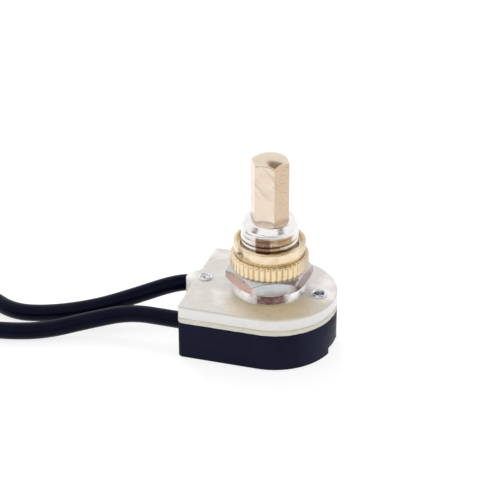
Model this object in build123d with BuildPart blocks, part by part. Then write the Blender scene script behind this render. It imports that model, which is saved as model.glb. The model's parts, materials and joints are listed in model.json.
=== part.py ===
"""Canopy pushbutton switch: a push-on, push-off switch with a threaded bushing and two leads.

Millimetres. The origin is where the bushing's axis meets the flat underside of the base,
+Z runs up along the plunger, +X towards the rounded end and -Y towards the front.
"""

import os
from math import cos, pi, radians, sin, tan

from build123d import *

# Body outline, shared by the base, the card and the cover plate
BODY_HALF_WIDTH = 10.5
ROUND_END_X = 0.9
FLAT_END_X = -12.75
CORNER_R = 0.8
TAB_X = -12.25
TAB_R = 2.25
TAB_FILLET_R = 1.5

# Heights of the body's layers
BASE_HEIGHT = 6.7
FLOOR_THICKNESS = 1.6
CARD_THICKNESS = 0.95
PLATE_THICKNESS = 2.05
BASE_EDGE = 0.25
PLATE_EDGE = 0.25
SLIDE_FIT = 0.05
SEAT_FIT = 0.1

# Threaded bushing and its nuts
THREAD_OD = 9.525
THREAD_TOP_CHAMFER = 1.0
BUSHING_TOP_R = 4.05
BUSHING_TOP_Z = 22.9
BUSHING_BORE_R = 3.6
BUSHING_LIP = 1.5
FLANGE_OD = 12.6
FLANGE_THICKNESS = 1.8
FLANGE_EDGE = 0.2
FLANGE_TAPER = 0.35
SKIRT_R = 4.6
SWAGE_R = 5.15
SWAGE_THICKNESS = 0.6
CARD_HOLE_R = 5.3
THREAD_FIT = 0.02
HEX_NUT_AF = 12.7
HEX_NUT_HEIGHT = 2.55
HEX_NUT_TURN = 23
HEX_NUT_FACE_R = 6.15
HEX_NUT_SLOPE = 30
NUT_BORE_EDGE = 0.3
KNURL_OD = 13.0
KNURL_HEIGHT = 2.7
KNURL_TEETH = 40
KNURL_DEPTH = 0.42
KNURL_EDGE = 0.3
KNURL_GROOVE_OD = 11.2
KNURL_GROOVE_HEIGHT = 0.25
COLLAR_OD = 11.95
COLLAR_HEIGHT = 2.25
COLLAR_EDGE = 0.3
COLLAR_RECESS_R = 5.4
COLLAR_RECESS_DEPTH = 1.3

# Plunger and its spring
PLUNGER_AF = 5.7
PLUNGER_TURN = 3
PLUNGER_FIT = 0.06
PLUNGER_TOP_Z = 34.2
DOME_R = 5.3
PLUNGER_FLANGE_R = 3.5
PLUNGER_FLANGE_THICKNESS = 1.2
PLUNGER_PLAY = 0.1
STEM_R = 1.5
STEM_FLAT = 1.1
STAKE_R = 1.55
STAKE_HEIGHT = 0.4
SPRING_WIRE = 0.5
SPRING_MEAN_R = 2.4
SPRING_TURNS = 4.5

# Push mechanism: the pawls slide down the rotor's ramps and turn it
TRAVEL = 2.8
TEETH = 4
DRIVEN_TURN = 80
PAWL_ANGLE = 9
RAMP_CLEARANCE = 0.08
RUNNING_FIT = 0.1
CROWN_R = 2.65
HUB_R = 1.75
PAWL_DISC_THICKNESS = 1.5
KEY_WIDTH = 0.9
KEY_R = 3.05
SLEEVE_WALL_TOP = 0.6
SLEEVE_FLANGE_R = 6.1
SLEEVE_FLANGE_THICKNESS = 0.7
SLEEVE_EAR_R = 6.9
SLEEVE_EAR_WIDTH = 1.6

# Rotor and its bearing
WELL_R = 5.6
POST_R = 1.2
POST_HEIGHT = 5.0
POST_FIT = 0.05
ROTOR_DISC_R = 5.1
ROTOR_DISC_THICKNESS = 1.2
BLADE_THICKNESS = 0.3
BLADE_WIDTH = 2.6
BLADE_REACH = 4.95
BLADE_DROP = 0.5
BLADE_FLAT = 2.6
BLADE_BOSS_R = 2.0
BLADE_RING_R = 3.0
CONTACT_R = 4.3
DIMPLE_R = 0.6
DIMPLE_DEPTH = 0.2
CONTACT_GAP = 0.05

# Terminals and leads
LEAD_OD = 2.8
LEAD_Y = 5.9
LEAD_Z = 4.2
LEAD_START_X = -8.7
LEAD_HOLE_FIT = 0.2
WIRE_WALL = 1.6
CONDUCTOR_OD = 1.16
CONDUCTOR_END_X = -4.6
TERMINAL_THICKNESS = 0.5
TERMINAL_WIDTH = 2.4
PAD_LENGTH = 3.2
RISER_X = -4.9
STRIP_END_X = 0.6
BARREL_LENGTH = 3.3
BARREL_WALL = 0.4
BARREL_SEAM = 0.24
BARREL_ROOM = 0.2
TIP_LENGTH = 10.0

# Rivets
RIVET_FROM_TAB = 1.05
RIVET_FROM_EDGE = 2.85
RIVET_SHANK_R = 1.0
RIVET_BORE_R = 0.68
RIVET_BORE_DEPTH = 4.0
RIVET_ROLL_R = 1.25
RIVET_ROLL_HEIGHT = 0.42
RIVET_HEAD_R = 1.9
RIVET_HEAD_THICKNESS = 0.55
RECESS_DEPTH = 1.3
RECESS_R = 2.2
SLOT_HALF_WIDTH = 2.65
RIVET_FIT = 0.04

# The front lead and the rear lead, from the terminal outwards; the turn that follows is made by a loop
FRONT_ROUTE = [
    (LEAD_START_X, -LEAD_Y, LEAD_Z),
    (-15.6, -5.8, 4.25),
    (-22.6, -5.8, 4.25),
    (-28.9, -7.7, 2.8),
    (-36.0, -11.4, 1.5),
    (-42.6, -13.5, 1.42),
    (-50.0, -13.8, 1.45),
    (-59.0, -14.9, 1.42),
    (-69.6, -15.3, 1.42),
]
REAR_ROUTE = [
    (LEAD_START_X, LEAD_Y, LEAD_Z),
    (-17.9, 6.1, 4.5),
    (-24.9, -0.7, 3.9),
    (-31.1, -4.6, 2.55),
    (-37.1, -5.7, 1.46),
    (-43.7, -7.2, 1.42),
    (-50.1, -3.4, 1.42),
    (-57.0, -1.7, 1.42),
    (-63.6, -3.6, 1.42),
]
TURN_CENTRE = (-78.0, 1.5)
TURN_STEP = 30
LEAD_REST_Z = 1.42
FRONT_TURN = {"radius": 16.5, "start": 255, "end": 75}
REAR_TURN = {"radius": 13.3, "start": 315, "end": 45}
ARC_SHARE = 0.45

# Heights and radii that follow from the sizes above
THREAD_R = THREAD_OD / 2
RIVET_LEFT_X = TAB_X + RIVET_FROM_TAB
RIVET_RIGHT_X = ROUND_END_X + BODY_HALF_WIDTH - RIVET_FROM_EDGE
PLUNGER_CORNER_R = PLUNGER_AF / 2 / cos(radians(30))
CARD_Z = BASE_HEIGHT
PLATE_Z = CARD_Z + CARD_THICKNESS
FLANGE_Z = PLATE_Z + PLATE_THICKNESS
HEX_NUT_Z = FLANGE_Z + FLANGE_THICKNESS
KNURL_Z = HEX_NUT_Z + HEX_NUT_HEIGHT
COLLAR_Z = KNURL_Z + KNURL_HEIGHT
PLUNGER_FLANGE_Z = BUSHING_TOP_Z - BUSHING_LIP - PLUNGER_PLAY - PLUNGER_FLANGE_THICKNESS
SLEEVE_Z = BASE_HEIGHT - SLEEVE_FLANGE_THICKNESS
PAD_Z = FLOOR_THICKNESS + TERMINAL_THICKNESS
BLADE_TIP_Z = PAD_Z + CONTACT_GAP + DIMPLE_DEPTH
BLADE_Z = BLADE_TIP_Z + BLADE_DROP
ROTOR_Z = BLADE_Z + BLADE_THICKNESS
CROWN_Z = ROTOR_Z + ROTOR_DISC_THICKNESS
STEP_ANGLE = 360 / TEETH
RISE_PER_DEGREE = TRAVEL / DRIVEN_TURN
RAMP_PITCH = RISE_PER_DEGREE * 360
CROWN_HEIGHT = RISE_PER_DEGREE * STEP_ANGLE
CROWN_TOP_Z = CROWN_Z + CROWN_HEIGHT
PAWL_TIP_Z = CROWN_TOP_Z - RISE_PER_DEGREE * PAWL_ANGLE + RAMP_CLEARANCE
PAWL_DISC_Z = CROWN_TOP_Z + TRAVEL + RUNNING_FIT
PAWL_DISC_TOP_Z = PAWL_DISC_Z + PAWL_DISC_THICKNESS
SPRING_SEAT_Z = PAWL_DISC_TOP_Z + PLUNGER_PLAY + SLEEVE_WALL_TOP
SLEEVE_BORE_R = CROWN_R + RUNNING_FIT
SLEEVE_OUTER_R = BUSHING_BORE_R - SLIDE_FIT
BARREL_BORE_R = CONDUCTOR_OD / 2 + THREAD_FIT
BARREL_R = BARREL_BORE_R + BARREL_WALL


# The outline that the three layers of the body share
with BuildSketch() as body_outline:
    with Locations((ROUND_END_X, 0)):
        Circle(BODY_HALF_WIDTH)
    with Locations(((ROUND_END_X + FLAT_END_X) / 2, 0)):
        Rectangle(ROUND_END_X - FLAT_END_X, 2 * BODY_HALF_WIDTH)
    fillet(body_outline.vertices().group_by(Axis.X)[0], CORNER_R)
    with Locations((TAB_X, 0)):
        Circle(TAB_R)
    necks = [v for v in body_outline.vertices() if abs(v.X - FLAT_END_X) < 0.01 and abs(v.Y) < TAB_R]
    fillet(necks, TAB_FILLET_R)


def rivet_places():
    """The two rivet centres, as places in a sketch."""
    return Locations((RIVET_LEFT_X, 0), (RIVET_RIGHT_X, 0))


def layer(height, thickness, centre_hole_r, edge=0):
    """One layer of the body, with a centre hole and two rivet holes, and its top edge rounded by edge."""
    with BuildPart() as made:
        with BuildSketch(Plane.XY.offset(height)):
            add(body_outline.sketch)
        extrude(amount=thickness)
        if edge:
            fillet(made.faces().sort_by(Axis.Z)[-1].edges(), edge)
        with BuildSketch(Plane.XY.offset(height)):
            Circle(centre_hole_r)
            with rivet_places():
                Circle(RIVET_SHANK_R + RIVET_FIT)
        extrude(amount=thickness, mode=Mode.SUBTRACT)
    return made


# Terminal strip seen from above, on the rear side
with BuildSketch() as terminal_strip:
    with Locations((0, CONTACT_R)):
        Rectangle(PAD_LENGTH, TERMINAL_WIDTH)
    with Locations(((RISER_X - TERMINAL_THICKNESS + STRIP_END_X) / 2, LEAD_Y)):
        Rectangle(STRIP_END_X - RISER_X + TERMINAL_THICKNESS, TERMINAL_WIDTH)

# Base: a black moulding with the rotor's well, the terminal pockets and the lead channels
with BuildPart() as base_housing:
    with BuildSketch():
        add(body_outline.sketch)
    extrude(amount=BASE_HEIGHT)
    chamfer(base_housing.faces().sort_by(Axis.Z)[0].edges(), BASE_EDGE)
    with BuildSketch(Plane.XY.offset(FLOOR_THICKNESS)):
        Circle(WELL_R)
        pocket = offset(terminal_strip.sketch, SEAT_FIT, kind=Kind.INTERSECTION, mode=Mode.PRIVATE)
        add(pocket)
        add(mirror(pocket, about=Plane.XZ, mode=Mode.PRIVATE))
    extrude(amount=BASE_HEIGHT - FLOOR_THICKNESS, mode=Mode.SUBTRACT)
    barrel_floor_z = LEAD_Z - BARREL_R - SEAT_FIT
    with BuildSketch(Plane.XY.offset(barrel_floor_z)):
        barrel_x = (LEAD_START_X + RISER_X) / 2
        with Locations((barrel_x, LEAD_Y), (barrel_x, -LEAD_Y)):
            Rectangle(RISER_X - LEAD_START_X, 2 * (BARREL_R + BARREL_ROOM))
    extrude(amount=BASE_HEIGHT - barrel_floor_z, mode=Mode.SUBTRACT)
    with BuildSketch(Plane.XY.offset(SLEEVE_Z)):
        Circle(SLEEVE_FLANGE_R + SLIDE_FIT)
        with Locations((SLEEVE_EAR_R / 2, 0)):
            Rectangle(SLEEVE_EAR_R + 2 * SLIDE_FIT, SLEEVE_EAR_WIDTH + 2 * SLIDE_FIT)
    extrude(amount=SLEEVE_FLANGE_THICKNESS, mode=Mode.SUBTRACT)
    with BuildSketch(Plane.XY.offset(FLOOR_THICKNESS)):
        Circle(POST_R)
    extrude(amount=POST_HEIGHT)
    lead_hole_r = LEAD_OD / 2 + LEAD_HOLE_FIT
    with BuildSketch(Plane.YZ.offset(FLAT_END_X)):
        with Locations((LEAD_Y, LEAD_Z), (-LEAD_Y, LEAD_Z)):
            Circle(lead_hole_r)
    extrude(amount=LEAD_START_X - FLAT_END_X, mode=Mode.SUBTRACT)
    with BuildSketch(Plane.XY.offset(LEAD_Z)):
        channel_length = LEAD_START_X - FLAT_END_X - WIRE_WALL
        channel_x = LEAD_START_X - channel_length / 2
        with Locations((channel_x, LEAD_Y), (channel_x, -LEAD_Y)):
            Rectangle(channel_length, 2 * lead_hole_r)
    extrude(amount=BASE_HEIGHT - LEAD_Z, mode=Mode.SUBTRACT)
    with BuildSketch():
        with rivet_places():
            Circle(RIVET_SHANK_R + RIVET_FIT)
    extrude(amount=BASE_HEIGHT, mode=Mode.SUBTRACT)
    with BuildSketch():
        with Locations((RIVET_LEFT_X, 0)):
            Circle(RECESS_R)
        with Locations((RIVET_RIGHT_X, 0)):
            Circle(SLOT_HALF_WIDTH)
        with Locations((RIVET_RIGHT_X + BODY_HALF_WIDTH / 2, 0)):
            Rectangle(BODY_HALF_WIDTH, 2 * SLOT_HALF_WIDTH)
    extrude(amount=RECESS_DEPTH, mode=Mode.SUBTRACT)

# Insulating card between the base and the cover plate
insulator_card = layer(CARD_Z, CARD_THICKNESS, CARD_HOLE_R)

# Translucent moulded cover plate that carries the bushing
cover_plate = layer(PLATE_Z, PLATE_THICKNESS, SKIRT_R + SLIDE_FIT, PLATE_EDGE)

# Bushing: flange, threaded barrel, top lip with the plunger's hexagonal hole and a swaged skirt
with BuildPart() as threaded_bushing:
    swage_z = PLATE_Z - SWAGE_THICKNESS
    lip_z = BUSHING_TOP_Z - BUSHING_LIP
    with BuildSketch(Plane.XZ):
        with BuildLine():
            Polyline(
                (BUSHING_BORE_R, swage_z),
                (BUSHING_BORE_R, lip_z),
                (0, lip_z),
                (0, BUSHING_TOP_Z),
                (BUSHING_TOP_R, BUSHING_TOP_Z),
                (THREAD_R, BUSHING_TOP_Z - THREAD_TOP_CHAMFER),
                (THREAD_R, HEX_NUT_Z),
                (FLANGE_OD / 2 - FLANGE_TAPER - FLANGE_EDGE, HEX_NUT_Z),
                (FLANGE_OD / 2 - FLANGE_TAPER, HEX_NUT_Z - FLANGE_EDGE),
                (FLANGE_OD / 2, FLANGE_Z),
                (SKIRT_R, FLANGE_Z),
                (SKIRT_R, PLATE_Z),
                (SWAGE_R, PLATE_Z),
                (SWAGE_R, PLATE_Z - SWAGE_THICKNESS / 2),
                (SWAGE_R - SWAGE_THICKNESS / 2, swage_z),
                close=True,
            )
        make_face()
    revolve(axis=Axis.Z)
    with BuildSketch(Plane.XY.offset(lip_z)):
        RegularPolygon(PLUNGER_CORNER_R + PLUNGER_FIT, 6, rotation=PLUNGER_TURN)
    extrude(amount=BUSHING_LIP, mode=Mode.SUBTRACT)

# Hex nut with both ends chamfered
with BuildPart() as hex_nut:
    corner_r = HEX_NUT_AF / 2 / cos(radians(30))
    slope_height = (corner_r - HEX_NUT_FACE_R) * tan(radians(HEX_NUT_SLOPE))
    bore_r = THREAD_R + THREAD_FIT
    nut_top = HEX_NUT_Z + HEX_NUT_HEIGHT
    with BuildSketch(Plane.XY.offset(HEX_NUT_Z)):
        RegularPolygon(corner_r, 6, rotation=HEX_NUT_TURN)
    extrude(amount=HEX_NUT_HEIGHT)
    with BuildSketch(Plane.XZ):
        with BuildLine():
            Polyline(
                (bore_r + NUT_BORE_EDGE, HEX_NUT_Z),
                (HEX_NUT_FACE_R, HEX_NUT_Z),
                (corner_r, HEX_NUT_Z + slope_height),
                (corner_r, nut_top - slope_height),
                (HEX_NUT_FACE_R, nut_top),
                (bore_r + NUT_BORE_EDGE, nut_top),
                (bore_r, nut_top - NUT_BORE_EDGE),
                (bore_r, HEX_NUT_Z + NUT_BORE_EDGE),
                close=True,
            )
        make_face()
    revolve(axis=Axis.Z, mode=Mode.INTERSECT)

# Knurled ring nut: straight knurl below, plain collar with a recessed top above
with BuildPart() as knurled_nut:
    collar_top = COLLAR_Z + COLLAR_HEIGHT
    with BuildSketch(Plane.XZ):
        with BuildLine():
            Polyline(
                (bore_r + NUT_BORE_EDGE, KNURL_Z),
                (KNURL_OD / 2 - KNURL_EDGE, KNURL_Z),
                (KNURL_OD / 2, KNURL_Z + KNURL_EDGE),
                (KNURL_OD / 2, COLLAR_Z - KNURL_EDGE),
                (KNURL_OD / 2 - KNURL_EDGE, COLLAR_Z),
                (KNURL_GROOVE_OD / 2, COLLAR_Z),
                (KNURL_GROOVE_OD / 2, COLLAR_Z + KNURL_GROOVE_HEIGHT),
                (COLLAR_OD / 2, COLLAR_Z + KNURL_GROOVE_HEIGHT),
                (COLLAR_OD / 2, collar_top - COLLAR_EDGE),
                (COLLAR_OD / 2 - COLLAR_EDGE, collar_top),
                (COLLAR_RECESS_R, collar_top),
                (COLLAR_RECESS_R, collar_top - COLLAR_RECESS_DEPTH),
                (bore_r, collar_top - COLLAR_RECESS_DEPTH),
                (bore_r, KNURL_Z + NUT_BORE_EDGE),
                close=True,
            )
        make_face()
    revolve(axis=Axis.Z)
    groove_half_width = pi * KNURL_OD / KNURL_TEETH / 3
    with BuildSketch(Plane.XY.offset(KNURL_Z)):
        with PolarLocations(KNURL_OD / 2, KNURL_TEETH):
            Polygon(
                (-KNURL_DEPTH, 0),
                (0.1, -groove_half_width),
                (0.1, groove_half_width),
                align=None,
            )
    extrude(amount=KNURL_HEIGHT, mode=Mode.SUBTRACT)

# Plunger: one turned and milled bar with a domed hexagonal end, a stop flange and a stem
with BuildPart() as plunger:
    flange_top = PLUNGER_FLANGE_Z + PLUNGER_FLANGE_THICKNESS
    with BuildSketch(Plane.XY.offset(flange_top)):
        RegularPolygon(PLUNGER_CORNER_R, 6, rotation=PLUNGER_TURN)
    extrude(amount=PLUNGER_TOP_Z - flange_top)
    dome_z = PLUNGER_TOP_Z - DOME_R
    with BuildSketch(Plane.XZ):
        with BuildLine():
            sphere_end = (DOME_R * sin(pi / 4), dome_z + DOME_R * cos(pi / 4))
            RadiusArc((0, PLUNGER_TOP_Z), sphere_end, DOME_R)
            Polyline(sphere_end, (2 * DOME_R, sphere_end[1]), (2 * DOME_R, PLUNGER_TOP_Z + 1),
                     (0, PLUNGER_TOP_Z + 1), (0, PLUNGER_TOP_Z))
        make_face()
    revolve(axis=Axis.Z, mode=Mode.SUBTRACT)
    with BuildSketch(Plane.XY.offset(PLUNGER_FLANGE_Z)):
        Circle(PLUNGER_FLANGE_R)
    extrude(amount=PLUNGER_FLANGE_THICKNESS)
    with BuildSketch(Plane.XY.offset(PLUNGER_FLANGE_Z)):
        Circle(STEM_R)
    extrude(amount=PAWL_DISC_TOP_Z - PLUNGER_FLANGE_Z)
    with BuildSketch(Plane.XY.offset(PAWL_DISC_Z)):
        Circle(STEM_R)
        Rectangle(2 * STEM_R, 2 * STEM_FLAT, mode=Mode.INTERSECT)
    extrude(amount=PAWL_DISC_THICKNESS)
    with BuildSketch(Plane.XY.offset(PAWL_DISC_Z - STAKE_HEIGHT)):
        Circle(STAKE_R)
    extrude(amount=STAKE_HEIGHT)

# Return spring between the sleeve's end wall and the plunger's flange, with ground ends
with BuildPart() as return_spring:
    spring_length = PLUNGER_FLANGE_Z - SPRING_SEAT_Z
    with BuildLine() as coil_line:
        Helix(spring_length / SPRING_TURNS, spring_length, SPRING_MEAN_R, center=(0, 0, SPRING_SEAT_Z))
    with BuildSketch(Plane(coil_line.line @ 0, z_dir=coil_line.line % 0)):
        Circle(SPRING_WIRE / 2)
    sweep(path=coil_line.line, is_frenet=True)
    with BuildSketch(Plane.XY.offset(SPRING_SEAT_Z)):
        Circle(SPRING_MEAN_R + SPRING_WIRE)
    extrude(amount=spring_length, mode=Mode.INTERSECT)

# Guide sleeve: seats the spring and keeps the pawl disc from turning
with BuildPart() as guide_sleeve:
    with BuildSketch(Plane.XY.offset(SLEEVE_Z)):
        Circle(SLEEVE_FLANGE_R)
        with Locations((SLEEVE_EAR_R / 2, 0)):
            Rectangle(SLEEVE_EAR_R, SLEEVE_EAR_WIDTH)
    extrude(amount=SLEEVE_FLANGE_THICKNESS)
    with BuildSketch(Plane.XY.offset(SLEEVE_Z)):
        Circle(SLEEVE_OUTER_R)
    extrude(amount=SPRING_SEAT_Z - SLEEVE_Z)
    with BuildSketch(Plane.XY.offset(SLEEVE_Z)):
        Circle(SLEEVE_BORE_R)
        Rectangle(2 * (KEY_R + RUNNING_FIT), KEY_WIDTH + 2 * RUNNING_FIT)
    extrude(amount=SPRING_SEAT_Z - SLEEVE_WALL_TOP - SLEEVE_Z, mode=Mode.SUBTRACT)
    with BuildSketch(Plane.XY.offset(SLEEVE_Z)):
        Circle(STEM_R + RUNNING_FIT)
    extrude(amount=SPRING_SEAT_Z - SLEEVE_Z, mode=Mode.SUBTRACT)


def ramp(start_z, low_z, high_z, inner_r, outer_r, angle):
    """A left-handed ramp: a radial face that climbs from start_z as it turns clockwise by angle."""
    with BuildPart() as made:
        with BuildLine(mode=Mode.PRIVATE) as climb:
            Helix(RAMP_PITCH, RISE_PER_DEGREE * angle, (inner_r + outer_r) / 2,
                  center=(0, 0, start_z), lefthand=True)
        with BuildSketch(Plane.XZ):
            with Locations(((inner_r + outer_r) / 2, (low_z + high_z) / 2)):
                Rectangle(outer_r - inner_r, high_z - low_z)
        sweep(path=climb.line, is_frenet=True)
    return made.part


# One tooth of the rotor's crown, cut level at its foot
with BuildPart() as crown_tooth:
    add(ramp(CROWN_Z, CROWN_Z - CROWN_HEIGHT, CROWN_Z, HUB_R - RUNNING_FIT, CROWN_R, STEP_ANGLE))
    with BuildSketch(Plane.XY.offset(ROTOR_Z)):
        Circle(CROWN_R)
    extrude(amount=CROWN_TOP_Z - ROTOR_Z, mode=Mode.INTERSECT)

# One pawl, cut level where it joins its disc
with BuildPart() as pawl:
    pawl_top_z = PAWL_DISC_Z + PAWL_DISC_THICKNESS / 2
    add(ramp(PAWL_TIP_Z, PAWL_TIP_Z, pawl_top_z, HUB_R + RUNNING_FIT, CROWN_R, PAWL_ANGLE))
    with BuildSketch(Plane.XY.offset(PAWL_TIP_Z)):
        Circle(CROWN_R)
    extrude(amount=pawl_top_z - PAWL_TIP_Z, mode=Mode.INTERSECT)

# Drive cam: a keyed disc staked on the stem, with a pawl for each tooth
with BuildPart() as drive_cam:
    with BuildSketch(Plane.XY.offset(PAWL_DISC_Z)):
        Circle(CROWN_R)
        Rectangle(2 * KEY_R, KEY_WIDTH)
    extrude(amount=PAWL_DISC_THICKNESS)
    with PolarLocations(0, TEETH, start_angle=PAWL_ANGLE - STEP_ANGLE):
        add(pawl.part)
    with BuildSketch(Plane.XY.offset(PAWL_DISC_Z)):
        Circle(STEM_R)
        Rectangle(2 * STEM_R, 2 * STEM_FLAT, mode=Mode.INTERSECT)
    extrude(amount=PAWL_DISC_THICKNESS, mode=Mode.SUBTRACT)

# Rotor: disc, crown of ramps and a long hub that turns on the base's post
with BuildPart() as index_rotor:
    boss_z = FLOOR_THICKNESS + RUNNING_FIT
    hub_top_z = FLOOR_THICKNESS + POST_HEIGHT
    with BuildSketch(Plane.XY.offset(ROTOR_Z)):
        Circle(ROTOR_DISC_R)
    extrude(amount=ROTOR_DISC_THICKNESS)
    with BuildSketch(Plane.XY.offset(boss_z)):
        Rectangle(2 * BLADE_BOSS_R, 2 * BLADE_BOSS_R)
        Circle(BLADE_BOSS_R, mode=Mode.INTERSECT)
    extrude(amount=ROTOR_Z - boss_z)
    with BuildSketch(Plane.XY.offset(ROTOR_Z)):
        Circle(HUB_R)
    extrude(amount=hub_top_z - ROTOR_Z)
    with PolarLocations(0, TEETH):
        add(crown_tooth.part)
    with BuildSketch(Plane.XY.offset(boss_z)):
        Circle(POST_R + POST_FIT)
    extrude(amount=CROWN_TOP_Z - boss_z, mode=Mode.SUBTRACT)

# Bridging contact: a bowed spring strip under the rotor with a dimple near each end
with BuildPart() as bridge_contact:
    with BuildSketch(Plane.XZ):
        with BuildLine():
            Polyline(
                (-BLADE_REACH, BLADE_TIP_Z),
                (-CONTACT_R + DIMPLE_R, BLADE_TIP_Z),
                (-BLADE_FLAT, BLADE_Z),
                (BLADE_FLAT, BLADE_Z),
                (CONTACT_R - DIMPLE_R, BLADE_TIP_Z),
                (BLADE_REACH, BLADE_TIP_Z),
                (BLADE_REACH, BLADE_TIP_Z + BLADE_THICKNESS),
                (CONTACT_R - DIMPLE_R, BLADE_TIP_Z + BLADE_THICKNESS),
                (BLADE_FLAT, ROTOR_Z),
                (-BLADE_FLAT, ROTOR_Z),
                (-CONTACT_R + DIMPLE_R, BLADE_TIP_Z + BLADE_THICKNESS),
                (-BLADE_REACH, BLADE_TIP_Z + BLADE_THICKNESS),
                close=True,
            )
        make_face()
    extrude(amount=BLADE_WIDTH / 2, both=True)
    with BuildSketch(Plane.XY.offset(BLADE_Z)):
        Circle(BLADE_RING_R)
    extrude(amount=BLADE_THICKNESS)
    with BuildSketch(Plane.XY.offset(BLADE_Z)):
        Circle(BLADE_BOSS_R + SLIDE_FIT)
    extrude(amount=BLADE_THICKNESS, mode=Mode.SUBTRACT)

# Terminals: each has a contact pad, a strip, a riser and a barrel crimped on its conductor
with BuildPart() as rear_terminal:
    with BuildSketch(Plane.XY.offset(FLOOR_THICKNESS)):
        add(terminal_strip.sketch)
    extrude(amount=TERMINAL_THICKNESS)
    with BuildSketch(Plane.XY.offset(FLOOR_THICKNESS)):
        with Locations((RISER_X - TERMINAL_THICKNESS / 2, LEAD_Y)):
            Rectangle(TERMINAL_THICKNESS, TERMINAL_WIDTH)
    extrude(amount=LEAD_Z - BARREL_BORE_R - FLOOR_THICKNESS)
    with BuildSketch(Plane.YZ.offset(RISER_X)):
        with Locations((LEAD_Y, LEAD_Z)):
            Circle(BARREL_R)
            Circle(BARREL_BORE_R, mode=Mode.SUBTRACT)
        with Locations((LEAD_Y, LEAD_Z + BARREL_R)):
            Rectangle(BARREL_SEAM, 2 * BARREL_R, mode=Mode.SUBTRACT)
    extrude(amount=-BARREL_LENGTH)

with BuildPart() as front_terminal:
    mirror(rear_terminal.part, about=Plane.XZ)


def stranded_end(y):
    """The bare strands that a terminal's barrel grips."""
    with BuildPart() as made:
        with BuildSketch(Plane.YZ.offset(LEAD_START_X)):
            with Locations((y, LEAD_Z)):
                Circle(CONDUCTOR_OD / 2)
        extrude(amount=CONDUCTOR_END_X - LEAD_START_X)
    return made


rear_conductor = stranded_end(LEAD_Y)
front_conductor = stranded_end(-LEAD_Y)


def tubular_rivet(x):
    """A semi-tubular rivet: its head is in the base's recess and its hollow end is rolled on the plate."""
    head_z = RECESS_DEPTH - RIVET_HEAD_THICKNESS
    roll_mid_r = (RIVET_BORE_R + RIVET_ROLL_R) / 2
    with BuildPart() as made:
        with BuildSketch(Plane((x, 0, 0), x_dir=(1, 0, 0), z_dir=(0, -1, 0))):
            with BuildLine():
                ThreePointArc(
                    (RIVET_ROLL_R, FLANGE_Z),
                    (roll_mid_r, FLANGE_Z + RIVET_ROLL_HEIGHT),
                    (RIVET_BORE_R, FLANGE_Z),
                )
                Polyline(
                    (RIVET_BORE_R, FLANGE_Z),
                    (RIVET_BORE_R, FLANGE_Z - RIVET_BORE_DEPTH),
                    (0, FLANGE_Z - RIVET_BORE_DEPTH),
                    (0, head_z),
                    (RIVET_HEAD_R - RIVET_HEAD_THICKNESS / 2, head_z),
                    (RIVET_HEAD_R, RECESS_DEPTH - RIVET_HEAD_THICKNESS / 2),
                    (RIVET_HEAD_R, RECESS_DEPTH),
                    (RIVET_SHANK_R, RECESS_DEPTH),
                    (RIVET_SHANK_R, FLANGE_Z),
                    (RIVET_ROLL_R, FLANGE_Z),
                )
            make_face()
        revolve(axis=Axis((x, 0, 0), (0, 0, 1)))
    return made


left_rivet = tubular_rivet(RIVET_LEFT_X)
right_rivet = tubular_rivet(RIVET_RIGHT_X)


def turn_corners(turn):
    """Corners of the turn in which a lead's unseen length is put away, clockwise from start to end."""
    corner_r = turn["radius"] / cos(radians(TURN_STEP / 2))
    angles = [radians(a) for a in range(turn["start"], turn["end"] - 1, -TURN_STEP)]
    centre_x, centre_y = TURN_CENTRE
    return [(centre_x + corner_r * cos(a), centre_y + corner_r * sin(a), LEAD_REST_Z) for a in angles]


def corner_radii(points):
    """The largest arc that each corner's two runs leave room for."""
    radii = []
    for before, corner, after in zip(points, points[1:], points[2:]):
        run_in = Vector(corner) - Vector(before)
        run_out = Vector(after) - Vector(corner)
        half_turn = radians(run_in.get_angle(run_out) / 2)
        radii.append(ARC_SHARE * min(run_in.length, run_out.length) / tan(half_turn))
    return radii


def lead(name, points):
    """An insulated lead along straight runs joined by arcs, with its radii and its volume printed."""
    radii = corner_radii(points)
    with BuildPart() as made:
        with BuildLine() as path:
            FilletPolyline(*points, radius=radii)
        route = path.wire()
        with BuildSketch(Plane(route @ 0, z_dir=route % 0)):
            Circle(LEAD_OD / 2)
        sweep(path=route)
    expected = pi * LEAD_OD**2 / 4 * route.length
    print(name, "length", round(route.length, 1), "radii", [round(r, 1) for r in radii])
    print(name, "volume", round(made.part.volume, 1), "section times length", round(expected, 1))
    return made


def stripped_tip(points):
    """The bare strands at a lead's free end, in line with its last run."""
    last_run = Vector(points[-1]) - Vector(points[-2])
    with BuildPart() as made:
        with BuildSketch(Plane(points[-1], z_dir=last_run)):
            Circle(CONDUCTOR_OD / 2)
        extrude(amount=TIP_LENGTH)
    return made


front_points = FRONT_ROUTE + turn_corners(FRONT_TURN)
rear_points = REAR_ROUTE + turn_corners(REAR_TURN)
front_lead = lead("front_lead", front_points)
rear_lead = lead("rear_lead", rear_points)
front_lead_tip = stripped_tip(front_points)
rear_lead_tip = stripped_tip(rear_points)

pieces = {
    "base_housing": base_housing,
    "insulator_card": insulator_card,
    "cover_plate": cover_plate,
    "threaded_bushing": threaded_bushing,
    "hex_nut": hex_nut,
    "knurled_nut": knurled_nut,
    "left_rivet": left_rivet,
    "right_rivet": right_rivet,
    "plunger": plunger,
    "return_spring": return_spring,
    "guide_sleeve": guide_sleeve,
    "drive_cam": drive_cam,
    "index_rotor": index_rotor,
    "bridge_contact": bridge_contact,
    "front_terminal": front_terminal,
    "rear_terminal": rear_terminal,
    "front_conductor": front_conductor,
    "rear_conductor": rear_conductor,
    "front_lead": front_lead,
    "rear_lead": rear_lead,
    "front_lead_tip": front_lead_tip,
    "rear_lead_tip": rear_lead_tip,
}
os.makedirs("parts", exist_ok=True)
for name, piece in pieces.items():
    piece.part.label = name
    export_step(piece.part, f"parts/{name}.step")
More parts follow.
